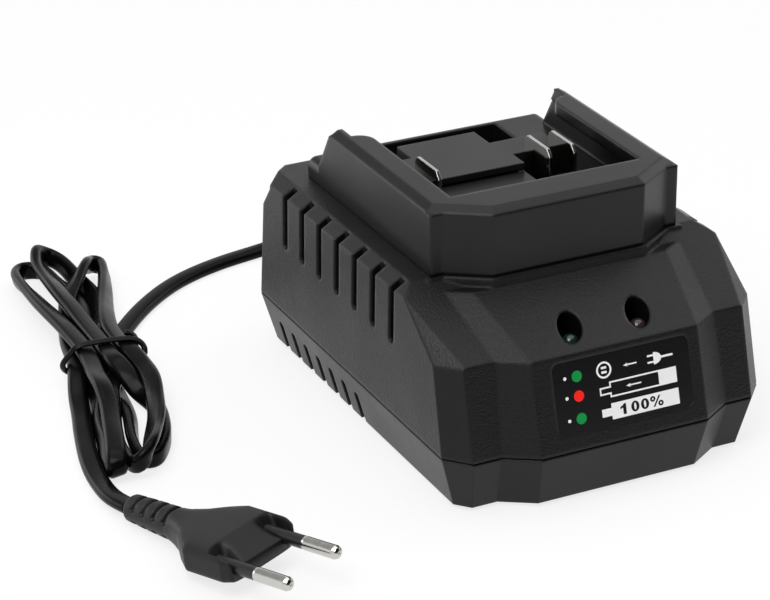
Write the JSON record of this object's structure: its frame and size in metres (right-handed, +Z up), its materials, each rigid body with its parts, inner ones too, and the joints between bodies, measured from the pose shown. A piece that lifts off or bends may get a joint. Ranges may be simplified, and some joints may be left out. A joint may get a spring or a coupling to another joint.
{
  "type": "power tool battery charger",
  "caption": "Desk charger for slide-on power tool batteries: faceted two-part case, railed battery dock with contact blades, light windows, flat cord in a tied hank with a round-pin plug.",
  "frame": {"origin": "centre of the case's footprint, on the surface that it stands on", "axes": "+Z up, -Y towards the front with the label and the light windows, +X to the right seen from the front; the cord leaves at +Y"},
  "size_m": [0.1856, 0.2401, 0.0788],
  "materials": {
    "housing_plastic": "black moulded plastic with a fine spark-eroded grain",
    "dock_plastic": "black moulded plastic, smooth satin",
    "deck_plastic": "dark grey moulded plastic, matt",
    "blade_metal": "tinned brass, stamped, bright on its cut edges",
    "label_film": "printed black film with white line art and coloured dots",
    "blank_label": "blank silver-grey film",
    "foot_rubber": "matt black rubber",
    "screw_steel": "zinc plated steel",
    "lamp_green": "tinted clear lamp",
    "lamp_red": "clear lamp",
    "cord_jacket": "black flexible jacket, satin",
    "tie_plastic": "black coated wire tie",
    "plug_plastic": "black moulded plug, satin",
    "pin_metal": "nickel plated brass",
    "clamp_nylon": "natural nylon",
    "board_laminate": "green solder mask on laminate",
    "core_ferrite": "ground dark ferrite",
    "bobbin_plastic": "moulded bobbin",
    "winding_tape": "yellow tape over enamelled wire",
    "choke_copper": "enamelled copper wire",
    "film_yellow": "yellow moulded film capacitor",
    "fuse_glass": "glass tube with plated caps",
    "epoxy_black": "moulded black epoxy",
    "sleeve_blue": "dark blue shrink sleeve",
    "heatsink_aluminium": "mill finish aluminium",
    "wire_brown_blue": "insulated wire, one brown and one blue",
    "wire_output": "insulated wire, black, white and red",
    "wire_clear": "black spacer tube"
  },
  "bodies": {
    "root": {"lower_housing": "housing_plastic", "upper_housing": "housing_plastic", "battery_dock": "dock_plastic", "terminal_deck": "deck_plastic", "negative_blade": "blade_metal", "signal_blade": "blade_metal", "positive_blade": "blade_metal", "front_label": "label_film", "rating_label": "blank_label", "rubber_feet": "foot_rubber", "case_screws": "screw_steel", "dock_screws": "screw_steel", "deck_screws": "screw_steel", "led_green": "lamp_green", "led_red": "lamp_red", "led_spacers": "wire_clear", "cord_gland": "cord_jacket", "cord_inner_end": "cord_jacket", "cord_clamp": "clamp_nylon", "clamp_screws": "screw_steel", "main_board": "board_laminate", "board_screws": "screw_steel", "transformer_core": "core_ferrite", "transformer_bobbin": "bobbin_plastic", "transformer_winding": "winding_tape", "filter_choke": "choke_copper", "filter_capacitor": "film_yellow", "fuse": "fuse_glass", "bridge_rectifier": "epoxy_black", "bulk_capacitor": "sleeve_blue", "output_capacitors": "sleeve_blue", "primary_heatsink": "heatsink_aluminium", "secondary_heatsink": "heatsink_aluminium", "power_transistor": "epoxy_black", "output_diode": "epoxy_black", "signal_isolator": "epoxy_black", "controller_chip": "epoxy_black", "mains_wires": "wire_brown_blue", "output_wires": "wire_output", "power_cord_lead": "cord_jacket", "cord_hank": "cord_jacket", "cord_tie": "tie_plastic", "cord_tail": "cord_jacket", "plug_body": "plug_plastic", "plug_pins": "pin_metal", "pin_sleeves": "plug_plastic"}
  },
  "joints": []
}
